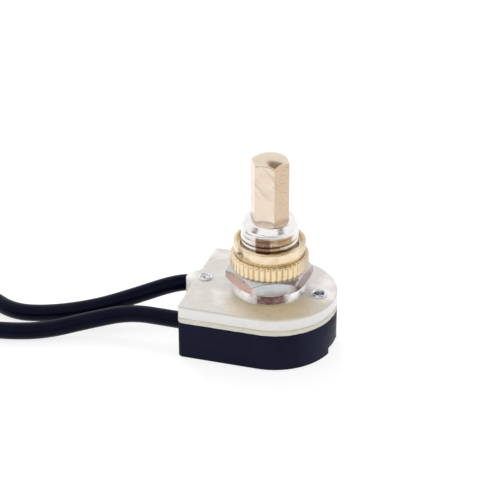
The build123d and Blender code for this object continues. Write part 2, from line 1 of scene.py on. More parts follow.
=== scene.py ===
"""Looks of the canopy pushbutton switch: its finishes, fine thread, wires, light and camera.

Lengths are in millimetres in the model's own frame, and MM turns them into metres. The camera, the
lamp and the floor are placed in metres. A profile is a list of rows, each a radius and a height.
"""

import json
from math import cos, floor, hypot, pi, radians, sin, sqrt

import bmesh
import bpy
from mathutils import Matrix, Vector, noise


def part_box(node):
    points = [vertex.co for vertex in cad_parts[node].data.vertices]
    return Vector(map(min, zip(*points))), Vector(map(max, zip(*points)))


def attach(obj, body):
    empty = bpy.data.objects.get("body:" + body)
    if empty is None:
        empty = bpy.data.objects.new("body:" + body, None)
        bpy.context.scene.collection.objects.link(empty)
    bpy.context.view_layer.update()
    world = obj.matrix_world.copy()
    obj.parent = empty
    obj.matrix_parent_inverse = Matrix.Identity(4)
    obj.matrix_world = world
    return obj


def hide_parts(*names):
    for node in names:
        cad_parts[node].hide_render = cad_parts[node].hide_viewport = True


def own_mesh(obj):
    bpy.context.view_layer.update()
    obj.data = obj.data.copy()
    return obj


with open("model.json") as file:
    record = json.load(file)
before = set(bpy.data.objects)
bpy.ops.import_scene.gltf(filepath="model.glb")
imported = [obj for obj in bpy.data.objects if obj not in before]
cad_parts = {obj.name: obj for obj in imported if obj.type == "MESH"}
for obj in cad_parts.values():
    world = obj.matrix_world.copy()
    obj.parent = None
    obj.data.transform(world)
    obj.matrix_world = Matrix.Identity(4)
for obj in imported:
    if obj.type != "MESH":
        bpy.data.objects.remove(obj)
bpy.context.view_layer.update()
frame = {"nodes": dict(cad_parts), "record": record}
nodes = frame["nodes"]
MM = 0.001
UP = Vector((0, 0, 1))

# Camera of the photograph. AIM shows AIM_RIGHT_PX right of the picture's middle and AIM_UP_PX above it.
IMAGE_WIDTH = 496
SENSOR_WIDTH = 36
CAMERA_AZIMUTH = radians(16.71)
CAMERA_ELEVATION = radians(28.859)
CAMERA_DISTANCE = 0.287511
CLIP_START = 0.01
FOCAL_PX = 1748.606
AIM = Vector((0, 0, 0.018))
AIM_RIGHT_PX = 21.586
AIM_UP_PX = 1.204

# Dark shapes around the object that only glossy surfaces see: colour, then the ends along the camera's
# right, towards the camera and up, as shares of the sphere's radius. SOFT is half of an edge's width.
SOFT = 0.05
ROOM_COLOR = (0.14, 0.062, 0.055)
CEILING_COLOR = (0.3, 0.23, 0.17)
DARK_PATCHES = (
    (ROOM_COLOR, (-0.62, 0.72), (0.2, 2), (-0.2, 0.27)),
    (ROOM_COLOR, (-0.86, -0.66), (0.1, 2), (0.48, 0.6)),
    (ROOM_COLOR, (0.46, 0.74), (0.1, 2), (0.55, 0.66)),
    (CEILING_COLOR, (-0.1, 0.62), (-0.42, 0.4), (0.68, 2)),
)
WORLD_STRENGTH = 0.8

LAMP_PLACE = Vector((-0.25, 0.35, 0.4))
LAMP_AIM = Vector((0, 0, 0.01))
LAMP_SIZE = 0.3
LAMP_POWER = 2.2

# Floor. FLOOR_END is where it turns dark for glossy surfaces, from the origin towards the camera.
FLOOR_HALF_WIDTH = 3
FLOOR_DROP = 0.00002
FLOOR_LIT = (0.8, 0.8, 0.8)
FLOOR_SHOWN = (0.3, 0.3, 0.3)
FLOOR_GLOW = 0.78
FLOOR_END = (0.09, 0.12)

# Leads, close to the routes of the part's source, and the strands at their ends
LEAD_OD = 2.9
LEAD_Y = 5.9
LEAD_Z = 4.2
LEAD_START_X = -8.7
LEAD_REST_Z = 1.46
LEAD_ROUNDNESS = 10
LEAD_ROWS = 16
FRONT_ROUTE = [
    (LEAD_START_X, -LEAD_Y, LEAD_Z),
    (-15.6, -5.8, 4.25),
    (-22.6, -5.8, 4.25),
    (-28.9, -7.7, 2.8),
    (-36.0, -11.4, 1.5),
    (-42.6, -13.5, LEAD_REST_Z),
    (-50.0, -13.8, 1.45),
    (-59.0, -14.9, LEAD_REST_Z),
    (-69.6, -15.3, LEAD_REST_Z),
]
REAR_ROUTE = [
    (LEAD_START_X, LEAD_Y, LEAD_Z),
    (-12.5, 6.3, 3.95),
    (-16.4, 5.0, 5.7),
    (-25.1, -1.3, 3.88),
    (-30.4, -4.1, 2.7),
    (-37.6, -6.0, LEAD_REST_Z),
    (-43.7, -7.2, LEAD_REST_Z),
    (-50.1, -3.4, LEAD_REST_Z),
    (-57.0, -1.7, LEAD_REST_Z),
    (-63.6, -3.6, LEAD_REST_Z),
]
TURN_CENTRE = (-78.0, 1.5)
TURN_STEP = 30
FRONT_TURN = {"radius": 16.5, "start": 255, "end": 75}
REAR_TURN = {"radius": 13.3, "start": 315, "end": 45}
STRAND_R = 0.13
STRAND_ROUNDNESS = 2
STRAND_STEPS = 36
STRAND_RINGS = ((0, 1), (0.27, 6), (0.45, 10))
TIP_LENGTH = 10
TIP_UNEVENNESS = 0.1
TIP_OVERLAP = 0.4
TURNS_PER_MM = 0.1375

# Bushing. Its thread's crest stands THREAD_CREST_Z high on the side towards the camera, and the thread
# has finer rows down to THREAD_SHOWN_Z than inside the nuts.
THREAD_R = 4.7625
THREAD_ROOT_R = 4.58
THREAD_PITCH = 25.4 / 27
THREAD_CREST_Z = 21.8
CREST_ANGLE = CAMERA_AZIMUTH - pi / 2
ROOT_SHARE = 0.08
FLANK_SHARE = 0.84
RUN_OUT_Z = 21.75
RUN_OUT_HEIGHT = 0.3
THREAD_TOP_Z = 22.8
THREAD_SHOWN_Z = 17.6
THREAD_HIDDEN_Z = 17.5
THREAD_FOOT_Z = 11.55
SHOWN_ROWS = 90
HIDDEN_ROWS = 44
BUSHING_TOP_Z = 22.9
BUSHING_TOP_R = 4.05
TOP_EDGE = 0.03
TOP_BEVEL = 0.12
BUSHING_BORE_R = 3.6
HOLE_CORNER_R = 0.1
HOLE_FLARE = 0.02
LIP_Z = 21.4
FLANGE_Z = 9.7
FLANGE_TOP_Z = 11.5
FLANGE_SIDE = [
    (5.62, FLANGE_TOP_Z), (5.76, 11.45), (5.84, 11.34), (5.9, 11.15), (5.99, 10.82),
    (6.09, 10.47), (6.19, 10.1), (6.27, 9.82), (6.28, 9.76), (6.24, FLANGE_Z),
]
SKIRT_R = 4.6
SWAGE_R = 5.15
SWAGE_Z = 7.05
SWAGE_CHAMFER = 0.3
PLATE_Z = 7.65
BUSHING_STEPS = 216

# Knurled nut. Its edges are given as steps inwards and away from the end that they round.
KNURL_R = 6.5
KNURL_Z = 14.05
KNURL_TOP_Z = 16.75
KNURL_TEETH = 40
KNURL_DEPTH = 0.42
KNURL_EDGE = ((0.42, 0.02), (0.2, 0.12), (0.06, 0.26), (0, 0.42))
RIB_POWER = 0.8
STEPS_PER_TOOTH = 14
KNURL_FOOT_R = 5.9
KNURL_SHOULDER_R = 5.85
GROOVE_R = 5.8
GROOVE_HEIGHT = 0.12
COLLAR_R = 5.975
COLLAR_TOP_Z = 19.0
COLLAR_FOOT = ((0.06, GROOVE_HEIGHT), (0, 0.2))
COLLAR_EDGE = ((0, 0.26), (0.04, 0.12), (0.13, 0.03), (0.24, 0))
RECESS_R = 5.4
RECESS_Z = 18.2
RECESS_EDGE = 0.05
NUT_BORE_R = THREAD_R + 0.02
BORE_TOP_CHAMFER = 0.1
BORE_FOOT_CHAMFER = 0.3

# Plunger. Its domed end's edge is given as insets of the hexagon and drops below the sphere.
PLUNGER_AF = 5.7
PLUNGER_TURN = radians(-1)
PLUNGER_CORNER_R = 0.2
PLUNGER_FIT = 0.02
PLUNGER_TOP_Z = 34.2
PLUNGER_MIDDLE_Z = 27
PLUNGER_EDGE = 0.1
DOME_R = 5.3
DOME_EDGE = ((0, 0.13), (0, 0.09), (0.05, 0.02), (0.16, 0))
DOME_RINGS = (0.86, 0.72, 0.58, 0.44, 0.3, 0.16)
PLUNGER_FLANGE_R = 3.5
PLUNGER_FLANGE_Z = 20.1
PLUNGER_FLANGE_TOP_Z = 21.3
FOOT_STEP = 0.05
STEM_R = 1.5
STEM_FLAT = 1.1
STEM_STEP = 0.01
STAKE_R = 1.55
STAKE_Z = 10.0
PAWL_DISC_Z = 10.4
PAWL_DISC_TOP_Z = 11.9
PLUNGER_STEPS = 360

# Rivets: the head from its underside up, the rolled end from the cover plate up, and two kinds of middle
RIVET_R = 1.0
RIVET_HEAD = ((0, 0), (1.6, 0), (1.85, 0.15), (1.9, 0.3), (1.9, 0.55), (RIVET_R, 0.55))
RIVET_ROLL = (
    (1.27, 0), (1.29, 0.09), (1.25, 0.2), (1.16, 0.3), (1.04, 0.36), (0.93, 0.36), (0.84, 0.3),
    (0.79, 0.19), (0.76, 0.04),
)
FUNNEL = ((0.72, -0.08), (0.6, -0.2), (0.44, -0.26), (0.3, -0.36), (0.26, -0.9), (0, -0.9))
OPEN_BORE = ((0.74, -0.2), (0.72, -0.6), (0.63, -1), (0.63, -4), (0, -4))
RIVET_STEPS = 72

# Card, whose rim lies beyond CARD_EDGE_R and is roughened by CARD_RAG. Before that, the rim's edges and
# then all level edges that are longer than the first number get as many cuts as the second says.
CARD_EDGE_R = 8
CARD_EDGE_CUTS = (0.6, 3)
CARD_LEVEL_CUTS = (1.2, 8)
CARD_RAG = 0.07
CARD_NOISE = ((900, 1), (2600, 0.6))

# Edges sharper than BEVEL_DEGREES are rounded on two pieces that are carried over from the source
BASE_ROUNDING = 0.14
HEX_NUT_ROUNDING = 0.07
BEVEL_DEGREES = 32
BEVEL_SEGMENTS = 2

# How near to each other two vertices count as one, in metres, in the source's meshes and in new ones
NODE_WELD = 1e-7
MESH_WELD = 1e-8

# Directions in which the finishes change, most of them where light, shade or reflections are painted.
# FACING is level towards the camera and ACROSS runs to its right.
FACING = (0.287, -0.958, 0)
ACROSS = (0.958, 0.287, 0)
BASE_RIGHT_END = (0.87, -0.5, 0)
NUT_LEFT_FACE = (-0.6, -0.8, 0)
NUT_FRONT_FACE = (0.39, -0.92, 0)
NUT_RIGHT_FACE = (0.99, -0.12, 0)
PLUNGER_RIGHT_FLAT = (0.857, -0.515, 0)


class NodeMaker:
    """Adds nodes to a node tree. Its methods give the new node's output, and take numbers or outputs."""

    def __init__(self, tree):
        self.tree = tree

    def add(self, kind, **settings):
        """A new node itself, with some of its properties set."""
        node = self.tree.nodes.new("ShaderNode" + kind)
        for setting, value in settings.items():
            setattr(node, setting, value)
        return node

    def link(self, output, socket):
        self.tree.links.new(output, socket)

    def feed(self, socket, value):
        """Links value to socket if it is an output, or else sets it on the socket."""
        if isinstance(value, bpy.types.NodeSocket):
            self.link(value, socket)
        else:
            socket.default_value = value

    def maths(self, operation, first, second):
        node = self.add("Math", operation=operation)
        self.feed(node.inputs[0], first)
        self.feed(node.inputs[1], second)
        return node.outputs["Value"]

    def product(self, first, *others):
        """All of them multiplied. The first is an output."""
        for other in others:
            first = self.maths("MULTIPLY", first, other)
        return first

    def remap(self, value, low, high, out_low=0, out_high=1, soft=False):
        """Runs from out_low to out_high as value runs from low to high, and stays level beyond."""
        node = self.add("MapRange", interpolation_type="SMOOTHSTEP" if soft else "LINEAR")
        ends = {"From Min": low, "From Max": high, "To Min": out_low, "To Max": out_high}
        for socket, number in ends.items():
            node.inputs[socket].default_value = number
        self.link(value, node.inputs["Value"])
        return node.outputs["Result"]

    def window(self, value, rise, fall, soft=False):
        """Goes from 0 to 1 as value runs through rise, and back to 0 as it runs through fall."""
        return self.product(self.remap(value, *rise, soft=soft), self.remap(value, *fall, 1, 0, soft=soft))

    def dot(self, place, direction):
        """How far place lies along direction."""
        node = self.add("VectorMath", operation="DOT_PRODUCT")
        node.inputs[1].default_value = direction
        self.link(place, node.inputs[0])
        return node.outputs["Value"]

    def mix(self, share, first, second):
        """The first colour where share is 0 and the second where it is 1."""
        node = self.add("Mix", data_type="RGBA")
        for socket, color in (("A", first), ("B", second)):
            self.feed(node.inputs[socket], (*color, 1) if isinstance(color, tuple) else color)
        self.link(share, node.inputs["Factor"])
        return node.outputs["Result"]


class Finish(NodeMaker):
    """A procedural material: one shader with colour, roughness and bump from textures in millimetres."""

    def __init__(self, name, color, roughness, **sockets):
        self.material = bpy.data.materials.new(name)
        self.material.use_nodes = True
        super().__init__(self.material.node_tree)
        self.shader = self.tree.nodes["Principled BSDF"]
        self.shader.inputs["Base Color"].default_value = (*color, 1)
        self.shader.inputs["Roughness"].default_value = roughness
        for socket, value in sockets.items():
            self.shader.inputs[socket.replace("_", " ")].default_value = value
        self.color = color
        self.relief = None
        coordinates = self.add("TexCoord")
        scale = self.add("VectorMath", operation="SCALE")
        scale.inputs["Scale"].default_value = 1 / MM
        self.link(coordinates.outputs["Object"], scale.inputs[0])
        self.place = scale.outputs["Vector"]
        self.normal = coordinates.outputs["Normal"]

    def stretched(self, scale, turn=(0, 0, 0)):
        """The place, turned by some degrees and then scaled along each axis."""
        place = self.place
        for socket, values in (("Rotation", [radians(a) for a in turn]), ("Scale", scale)):
            mapping = self.add("Mapping")
            mapping.inputs[socket].default_value = values
            self.link(place, mapping.inputs["Vector"])
            place = mapping.outputs["Vector"]
        return place

    def along(self, direction):
        """How far a place lies along direction, in mm."""
        return self.dot(self.place, direction)

    def distance_to(self, point, scale):
        """Distance in mm from a point, with each axis scaled."""
        node = self.add("VectorMath", operation="DISTANCE")
        node.inputs[1].default_value = Vector(a * b for a, b in zip(point, scale))
        self.link(self.stretched(scale), node.inputs[0])
        return node.outputs["Value"]

    def upright(self):
        """1 on surfaces that stand upright, 0 on those that lie or slope."""
        slope = self.maths("ABSOLUTE", self.dot(self.normal, UP), 0)
        return self.remap(slope, 0.15, 0.35, 1, 0)

    def noise(self, scale, detail=3, place=None, low=0.35, high=0.65):
        """Noise stretched to run from 0 at low to 1 at high. scale is in cycles per mm."""
        texture = self.add("TexNoise")
        texture.inputs["Scale"].default_value = scale
        texture.inputs["Detail"].default_value = detail
        self.link(place or self.place, texture.inputs["Vector"])
        return self.remap(texture.outputs["Fac"], low, high)

    def tint(self, color, share):
        """Mixes color over the base colour by share, an output from 0 to 1."""
        self.color = self.mix(share, self.color, color)
        self.link(self.color, self.shader.inputs["Base Color"])

    def roughen(self, low, high, share):
        """Roughness from low where share is 0 to high where it is 1."""
        self.link(self.remap(share, 0, 1, low, high), self.shader.inputs["Roughness"])

    def bump(self, height, depth, strength):
        """Adds relief, depth mm high where height is 1."""
        node = self.add("Bump")
        node.inputs["Strength"].default_value = strength
        node.inputs["Distance"].default_value = depth * MM
        self.link(height, node.inputs["Height"])
        if self.relief:
            self.link(self.relief, node.inputs["Normal"])
        self.relief = node.outputs["Normal"]
        self.link(self.relief, self.shader.inputs["Normal"])


def black_base():
    """Matte black moulding, with painted light that makes it paler towards its right end."""
    made = Finish("black_phenolic", (0.007, 0.0075, 0.023), 0.5, Specular_IOR_Level=0.09)
    made.bump(made.noise(7, 4), 0.006, 0.4)
    made.roughen(0.4, 0.55, made.noise(0.8, 2))
    made.tint((0.009, 0.0095, 0.028), made.noise(0.25, 2, low=0.4, high=0.7))
    # Painted light: the right end is painted paler, as if lit from that side.
    made.tint((0.022, 0.024, 0.055), made.remap(made.along(BASE_RIGHT_END), 10.4, 12.2, 0, 0.9))
    return made.material


def fibre_card():
    """Pale pressed fibre in layers, with a yellow line along the top of its edge."""
    made = Finish("fibre_card", (0.78, 0.74, 0.62), 0.85, Specular_IOR_Level=0.2)
    layers = made.noise(1, 3, place=made.stretched((0.7, 0.7, 9)))
    made.tint((0.88, 0.86, 0.8), layers)
    rim = made.remap(made.along(UP), 7.35, 7.6)
    made.tint((0.62, 0.53, 0.24), made.product(rim, made.noise(0.5, 2, low=0.25, high=0.55)))
    made.bump(made.noise(5, 4), 0.05, 0.8)
    made.bump(layers, 0.03, 0.6)
    return made.material


def nylon_plate():
    """Milky nylon, cloudy on top, with painted shade and brass bounce light in front of the bushing."""
    made = Finish("natural_nylon", (0.95, 0.93, 0.9), 0.3, Subsurface_Weight=0.3, Specular_IOR_Level=0.5,
                  Subsurface_Radius=(1.0, 0.85, 0.65), Subsurface_Scale=0.7 * MM)
    top = made.remap(made.along(UP), 9.3, 9.65)
    made.tint((0.6, 0.575, 0.54), made.product(top, made.noise(0.16, 2, low=0.2, high=0.5)))
    # Painted shade with brass-coloured bounce light, on the top in front of the bushing.
    painted_shade_and_bounce = made.remap(made.distance_to((2.5, -5.5, 9.7), (1, 1.2, 0.2)), 2.5, 9.5, 1, 0)
    made.tint((0.76, 0.6, 0.34), made.product(painted_shade_and_bounce, top, 0.9))
    made.roughen(0.24, 0.36, made.noise(0.5, 3))
    made.bump(made.noise(0.35, 2), 0.01, 0.2)
    return made.material


def nickel():
    """Bright nickel, duller on the thread, with painted gold and brown reflections low on the thread's front.
    """
    made = Finish("nickel_plate", (0.9, 0.89, 0.885), 0.15, Metallic=1)
    height = made.along(UP)
    across = made.along(ACROSS)
    thread = made.window(height, (17, 18), (21.4, 21.8))
    made.roughen(0.12, 0.33, made.maths("MAXIMUM", made.product(made.noise(1.4, 3), 0.5), thread))
    made.tint((0.82, 0.78, 0.76), made.noise(0.6, 3, low=0.5, high=0.85))
    # Painted reflections on the thread's side towards the camera, just above the knurled nut.
    front = made.product(made.remap(made.along(FACING), 2, 3), made.window(height, (17, 17.6), (21, 21.25)))
    # A painted reflection of the brass, in gold.
    painted_brass_reflection = made.product(front, made.window(across, (-2.5, -2.2), (3.4, 4.1)))
    made.tint((0.52, 0.37, 0.2), made.product(painted_brass_reflection, made.noise(0.9, 3, low=0.25, high=0.5)))
    # A painted dark reflection, in brown.
    painted_dark_reflection = made.product(front, made.window(across, (-2.4, -2.15), (-0.1, 0.15)))
    made.tint((0.3, 0.19, 0.135), made.product(painted_dark_reflection, made.noise(0.9, 2, low=0.15, high=0.4)))
    made.bump(made.noise(3, 3), 0.008, 0.25)
    return made.material


def zinc():
    """Zinc plating with small dark specks and green in front, with salmon painted light on the left
    and purple painted shade on the right.
    """
    made = Finish("zinc_plate", (0.56, 0.57, 0.59), 0.16, Metallic=1)
    upright = made.upright()
    # Painted light: the upright faces on the left are painted lighter and salmon.
    left = made.remap(made.along(NUT_LEFT_FACE), 5.6, 6.3, 0, 0.9)
    made.tint((0.75, 0.53, 0.46), made.product(left, upright))
    # Painted shade: the upright faces on the right are painted darker and purple.
    right = made.remap(made.along(NUT_RIGHT_FACE), 5.2, 6.2, 0, 0.85)
    made.tint((0.34, 0.22, 0.2), made.product(right, upright))
    front = made.remap(made.along(NUT_FRONT_FACE), 5.8, 6.2)
    made.tint((0.46, 0.6, 0.52), made.product(front, made.noise(0.3, 1, low=0.45, high=0.7)))
    made.tint((0.2, 0.18, 0.2), made.noise(3.2, 2, low=0.68, high=0.74))
    made.roughen(0.14, 0.28, made.noise(1.1, 3))
    made.bump(made.noise(1.6, 3), 0.02, 0.3)
    return made.material


def turned_brass():
    """Polished brass with fine turning lines, with painted shade at the right and a painted dark reflection
    in a streak on the collar's left.
    """
    made = Finish("polished_brass", (0.84, 0.71, 0.51), 0.17, Metallic=1)
    made.tint((0.74, 0.57, 0.34), made.noise(0.5, 3, low=0.45, high=0.8))
    across = made.along(ACROSS)
    # Painted shade towards the camera's right.
    made.tint((0.6, 0.47, 0.33), made.remap(across, 4.4, 5.9))
    # A painted dark reflection in a streak down the collar's left side.
    painted_reflection_streak = made.window(across, (-5.3, -4.9), (-4.6, -4.2))
    collar = made.remap(made.along(UP), KNURL_TOP_Z, KNURL_TOP_Z + 0.2)
    made.tint((0.6, 0.45, 0.3), made.product(painted_reflection_streak, collar, 0.6))
    lines = made.noise(1, 2, place=made.stretched((0.3, 0.3, 11)))
    made.roughen(0.13, 0.26, lines)
    made.bump(lines, 0.005, 0.3)
    return made.material


def plunger_brass():
    """Warm brass with painted shade that makes its right flat browner, and diagonal scratches on its upper
    half.
    """
    made = Finish("plunger_brass", (0.79, 0.68, 0.56), 0.24, Metallic=1)
    # Painted shade on the flat to the camera's right.
    made.tint((0.64, 0.49, 0.36), made.remap(made.along(PLUNGER_RIGHT_FLAT), 2.8, 2.84))
    clouds = made.noise(0.45, 4, low=0.45, high=0.8)
    made.tint((0.72, 0.57, 0.43), made.product(clouds, 0.5))
    lines = made.noise(1, 2, place=made.stretched((8, 1, 0.25), (0, 45, 0)), low=0.54, high=0.64)
    scratches = made.product(lines, made.window(made.along(UP), (23, 29), (33, 33.3)))
    made.bump(scratches, -0.001, 0.6)
    made.tint((0.42, 0.3, 0.2), made.product(scratches, 0.55))
    made.roughen(0.18, 0.3, clouds)
    return made.material


def black_vinyl():
    """Smooth black insulation with a violet gloss."""
    made = Finish("lead_insulation", (0.002, 0.0022, 0.009), 0.3, Specular_IOR_Level=0.11,
                  Specular_Tint=(0.62, 0.66, 1, 1))
    made.roughen(0.26, 0.38, made.noise(0.6, 3))
    made.tint((0.003, 0.0035, 0.012), made.noise(0.4, 2))
    made.bump(made.noise(1.5, 3), 0.015, 0.3)
    return made.material


def plain_metal(name, color, roughness):
    """Metal with faint clouds in its colour and roughness."""
    made = Finish(name, color, roughness, Metallic=1)
    made.roughen(roughness * 0.8, roughness * 1.3, made.noise(4, 3))
    made.tint(tuple(c * 0.85 for c in color), made.noise(0.8, 2))
    return made.material


def white_moulding():
    """White acetal with some light inside it."""
    made = Finish("white_acetal", (0.78, 0.78, 0.75), 0.4, Subsurface_Weight=0.2, Subsurface_Scale=0.4 * MM)
    made.bump(made.noise(4, 2), 0.01, 0.3)
    made.tint((0.7, 0.7, 0.66), made.noise(0.5, 2))
    return made.material


materials = {
    "black_phenolic": black_base(),
    "fibre_card": fibre_card(),
    "natural_nylon": nylon_plate(),
    "nickel_plate": nickel(),
    "rivet_nickel": plain_metal("rivet_nickel", (0.85, 0.86, 0.9), 0.16),
    "zinc_plate": zinc(),
    "polished_brass": turned_brass(),
    "plunger_brass": plunger_brass(),
    "spring_steel": plain_metal("spring_steel", (0.55, 0.55, 0.56), 0.3),
    "white_acetal": white_moulding(),
    "contact_bronze": plain_metal("contact_bronze", (0.74, 0.48, 0.28), 0.28),
    "tinned_copper": plain_metal("tinned_copper", (0.72, 0.7, 0.67), 0.3),
    "lead_insulation": black_vinyl(),
}
for part in frame["record"]["subparts"]:
    node = nodes[part["node"]]
    node.data.materials.clear()
    node.data.materials.append(materials[part["material_slot"]])


def finish_mesh(name, bm, material, body, sharp_degrees=35):
    """A shown piece from bm that rides on body. It is shaded smooth but for edges of sharp_degrees."""
    bmesh.ops.remove_doubles(bm, verts=bm.verts, dist=MESH_WELD)
    bmesh.ops.recalc_face_normals(bm, faces=bm.faces)
    for face in bm.faces:
        face.smooth = True
    for edge in bm.edges:
        if len(edge.link_faces) == 2 and edge.calc_face_angle() > radians(sharp_degrees):
            edge.smooth = False
    mesh = bpy.data.meshes.new(name)
    bm.to_mesh(mesh)
    bm.free()
    mesh.materials.append(material)
    piece = bpy.data.objects.new(name, mesh)
    bpy.context.scene.collection.objects.link(piece)
    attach(piece, body)
    return piece


def polar_mesh(rows, steps, closed=False, centre=(0, 0)):
    """A mesh of rings about a vertical axis. A row is (radius, height) in mm, each a number or a
    function of the angle. A radius of 0 makes a pole, and closed joins the last row to the first."""
    bm = bmesh.new()
    rings = []
    for radius, height in rows:
        ring = []
        count = 1 if radius == 0 else steps
        for i in range(count):
            angle = 2 * pi * i / steps
            r = radius(angle) if callable(radius) else radius
            z = height(angle) if callable(height) else height
            place = (centre[0] + r * cos(angle), centre[1] + r * sin(angle), z)
            ring.append(bm.verts.new(Vector(place) * MM))
        rings.append(ring)
    pairs = list(zip(rings, rings[1:]))
    if closed:
        pairs.append((rings[-1], rings[0]))
    for low, high in pairs:
        for i in range(steps):
            j = (i + 1) % steps
            corners = [low[i % len(low)], low[j % len(low)], high[j % len(high)], high[i % len(high)]]
            unique = list(dict.fromkeys(corners))
            if len(unique) > 2:
                bm.faces.new(unique)
    return bm


def spread_rows(first_z, last_z, count, radius):
    """Rows at even heights from first_z to last_z, with radius(angle, z) for each."""
    rows = []
    for i in range(count + 1):
        z = first_z + (last_z - first_z) * i / count
        rows.append((lambda angle, z=z: radius(angle, z), z))
    return rows


def soften_edges(node, width):
    """Rounds a carried-over node's sharp edges with modifiers, its own mesh left as it is."""
    weld = nodes[node].modifiers.new("weld", "WELD")
    weld.merge_threshold = NODE_WELD
    bevel = nodes[node].modifiers.new("edges", "BEVEL")
    bevel.width = width * MM
    bevel.segments = BEVEL_SEGMENTS
    bevel.limit_method = "ANGLE"
    bevel.angle_limit = radians(BEVEL_DEGREES)


def make_card():
    """The insulating card, with the slightly furry edge that its punching left."""
    bm = bmesh.new()
    bm.from_mesh(nodes["insulator_card"].data)
    bmesh.ops.remove_doubles(bm, verts=bm.verts, dist=NODE_WELD)
    bmesh.ops.dissolve_limit(bm, angle_limit=radians(1), verts=bm.verts, edges=bm.edges)

    def is_outer(vert):
        return hypot(vert.co.x, vert.co.y) > CARD_EDGE_R * MM

    long_enough, cuts = CARD_EDGE_CUTS
    edges = [e for e in bm.edges if all(is_outer(v) for v in e.verts) and e.calc_length() > long_enough * MM]
    bmesh.ops.subdivide_edges(bm, edges=edges, cuts=cuts)
    long_enough, cuts = CARD_LEVEL_CUTS
    level = [e for e in bm.edges if abs(e.verts[0].co.z - e.verts[1].co.z) < NODE_WELD]
    edges = [e for e in level if e.calc_length() > long_enough * MM]
    bmesh.ops.subdivide_edges(bm, edges=edges, cuts=cuts)
    bmesh.ops.triangulate(bm, faces=bm.faces)
    for v in bm.verts:
        if is_outer(v):
            ragged = sum(share * noise.noise(v.co * scale) for scale, share in CARD_NOISE)
            v.co += Vector((v.co.x, v.co.y, 0)).normalized() * (CARD_RAG * ragged * MM)
    piece = finish_mesh("card_edge", bm, materials["fibre_card"], "housing", 50)
    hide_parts("insulator_card")


def ease(value):
    """0 to 1 with soft ends."""
    value = min(1, max(0, value))
    return value * value * (3 - 2 * value)


def thread_radius(angle, z):
    """The bushing's outer radius: a rolled right-hand thread that runs out under the top cone."""
    turns = (z - THREAD_CREST_Z) / THREAD_PITCH - (angle - CREST_ANGLE) / (2 * pi)
    from_root = abs(2 * (turns - floor(turns)) - 1)
    full = THREAD_ROOT_R + (THREAD_R - THREAD_ROOT_R) * ease((from_root - ROOT_SHARE) / FLANK_SHARE)
    run_out = ease((z - RUN_OUT_Z) / RUN_OUT_HEIGHT)
    cone = BUSHING_TOP_R + (BUSHING_TOP_Z - z) * (THREAD_R - BUSHING_TOP_R)
    return min(cone, full + (THREAD_R - full) * run_out)


def hex_radius(inset, corner_r=PLUNGER_CORNER_R):
    """Radius of the plunger's hexagon, inset by some mm, with corners rounded to corner_r."""
    flat = PLUNGER_AF / 2 - inset
    corner_centre = (flat - corner_r) / cos(pi / 6)

    def radius(angle):
        off_corner = abs((angle - PLUNGER_TURN + pi / 6) % (pi / 3) - pi / 6)
        on_flat = flat / cos(pi / 6 - off_corner)
        reach = corner_r ** 2 - (corner_centre * sin(off_corner)) ** 2
        if reach < 0:
            return on_flat
        return min(on_flat, corner_centre * cos(off_corner) + sqrt(reach))
    return radius


def make_bushing():
    """The bushing, from its bore over the top and down the thread and flange to the swaged skirt."""
    hole = hex_radius(-PLUNGER_FIT, HOLE_CORNER_R)
    hole_rim = hex_radius(-PLUNGER_FIT - HOLE_FLARE, HOLE_CORNER_R + HOLE_FLARE)
    rows = [
        (BUSHING_BORE_R, SWAGE_Z), (BUSHING_BORE_R, LIP_Z), (hole, LIP_Z),
        (hole, BUSHING_TOP_Z - TOP_EDGE), (hole_rim, BUSHING_TOP_Z),
        (BUSHING_TOP_R - TOP_BEVEL, BUSHING_TOP_Z), (BUSHING_TOP_R - TOP_EDGE, BUSHING_TOP_Z - TOP_EDGE),
    ]
    rows += spread_rows(THREAD_TOP_Z, THREAD_SHOWN_Z, SHOWN_ROWS, thread_radius)
    rows += spread_rows(THREAD_HIDDEN_Z, THREAD_FOOT_Z, HIDDEN_ROWS, thread_radius)
    rows += [(THREAD_ROOT_R, FLANGE_TOP_Z)] + FLANGE_SIDE
    rows += [
        (SKIRT_R, FLANGE_Z), (SKIRT_R, PLATE_Z), (SWAGE_R, PLATE_Z),
        (SWAGE_R, SWAGE_Z + SWAGE_CHAMFER), (SWAGE_R - SWAGE_CHAMFER, SWAGE_Z),
    ]
    piece = finish_mesh("bushing_with_thread", polar_mesh(rows, BUSHING_STEPS, closed=True),
                        materials["nickel_plate"], "housing")
    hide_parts("threaded_bushing")


def knurl_radius(reach):
    """Rounded ribs with narrow valleys, cut off reach mm inside the knurl's outer radius."""
    def radius(angle):
        wave = abs(sin(KNURL_TEETH * angle / 2))
        return min(KNURL_R - reach, KNURL_R - KNURL_DEPTH * (1 - wave ** RIB_POWER))
    return radius


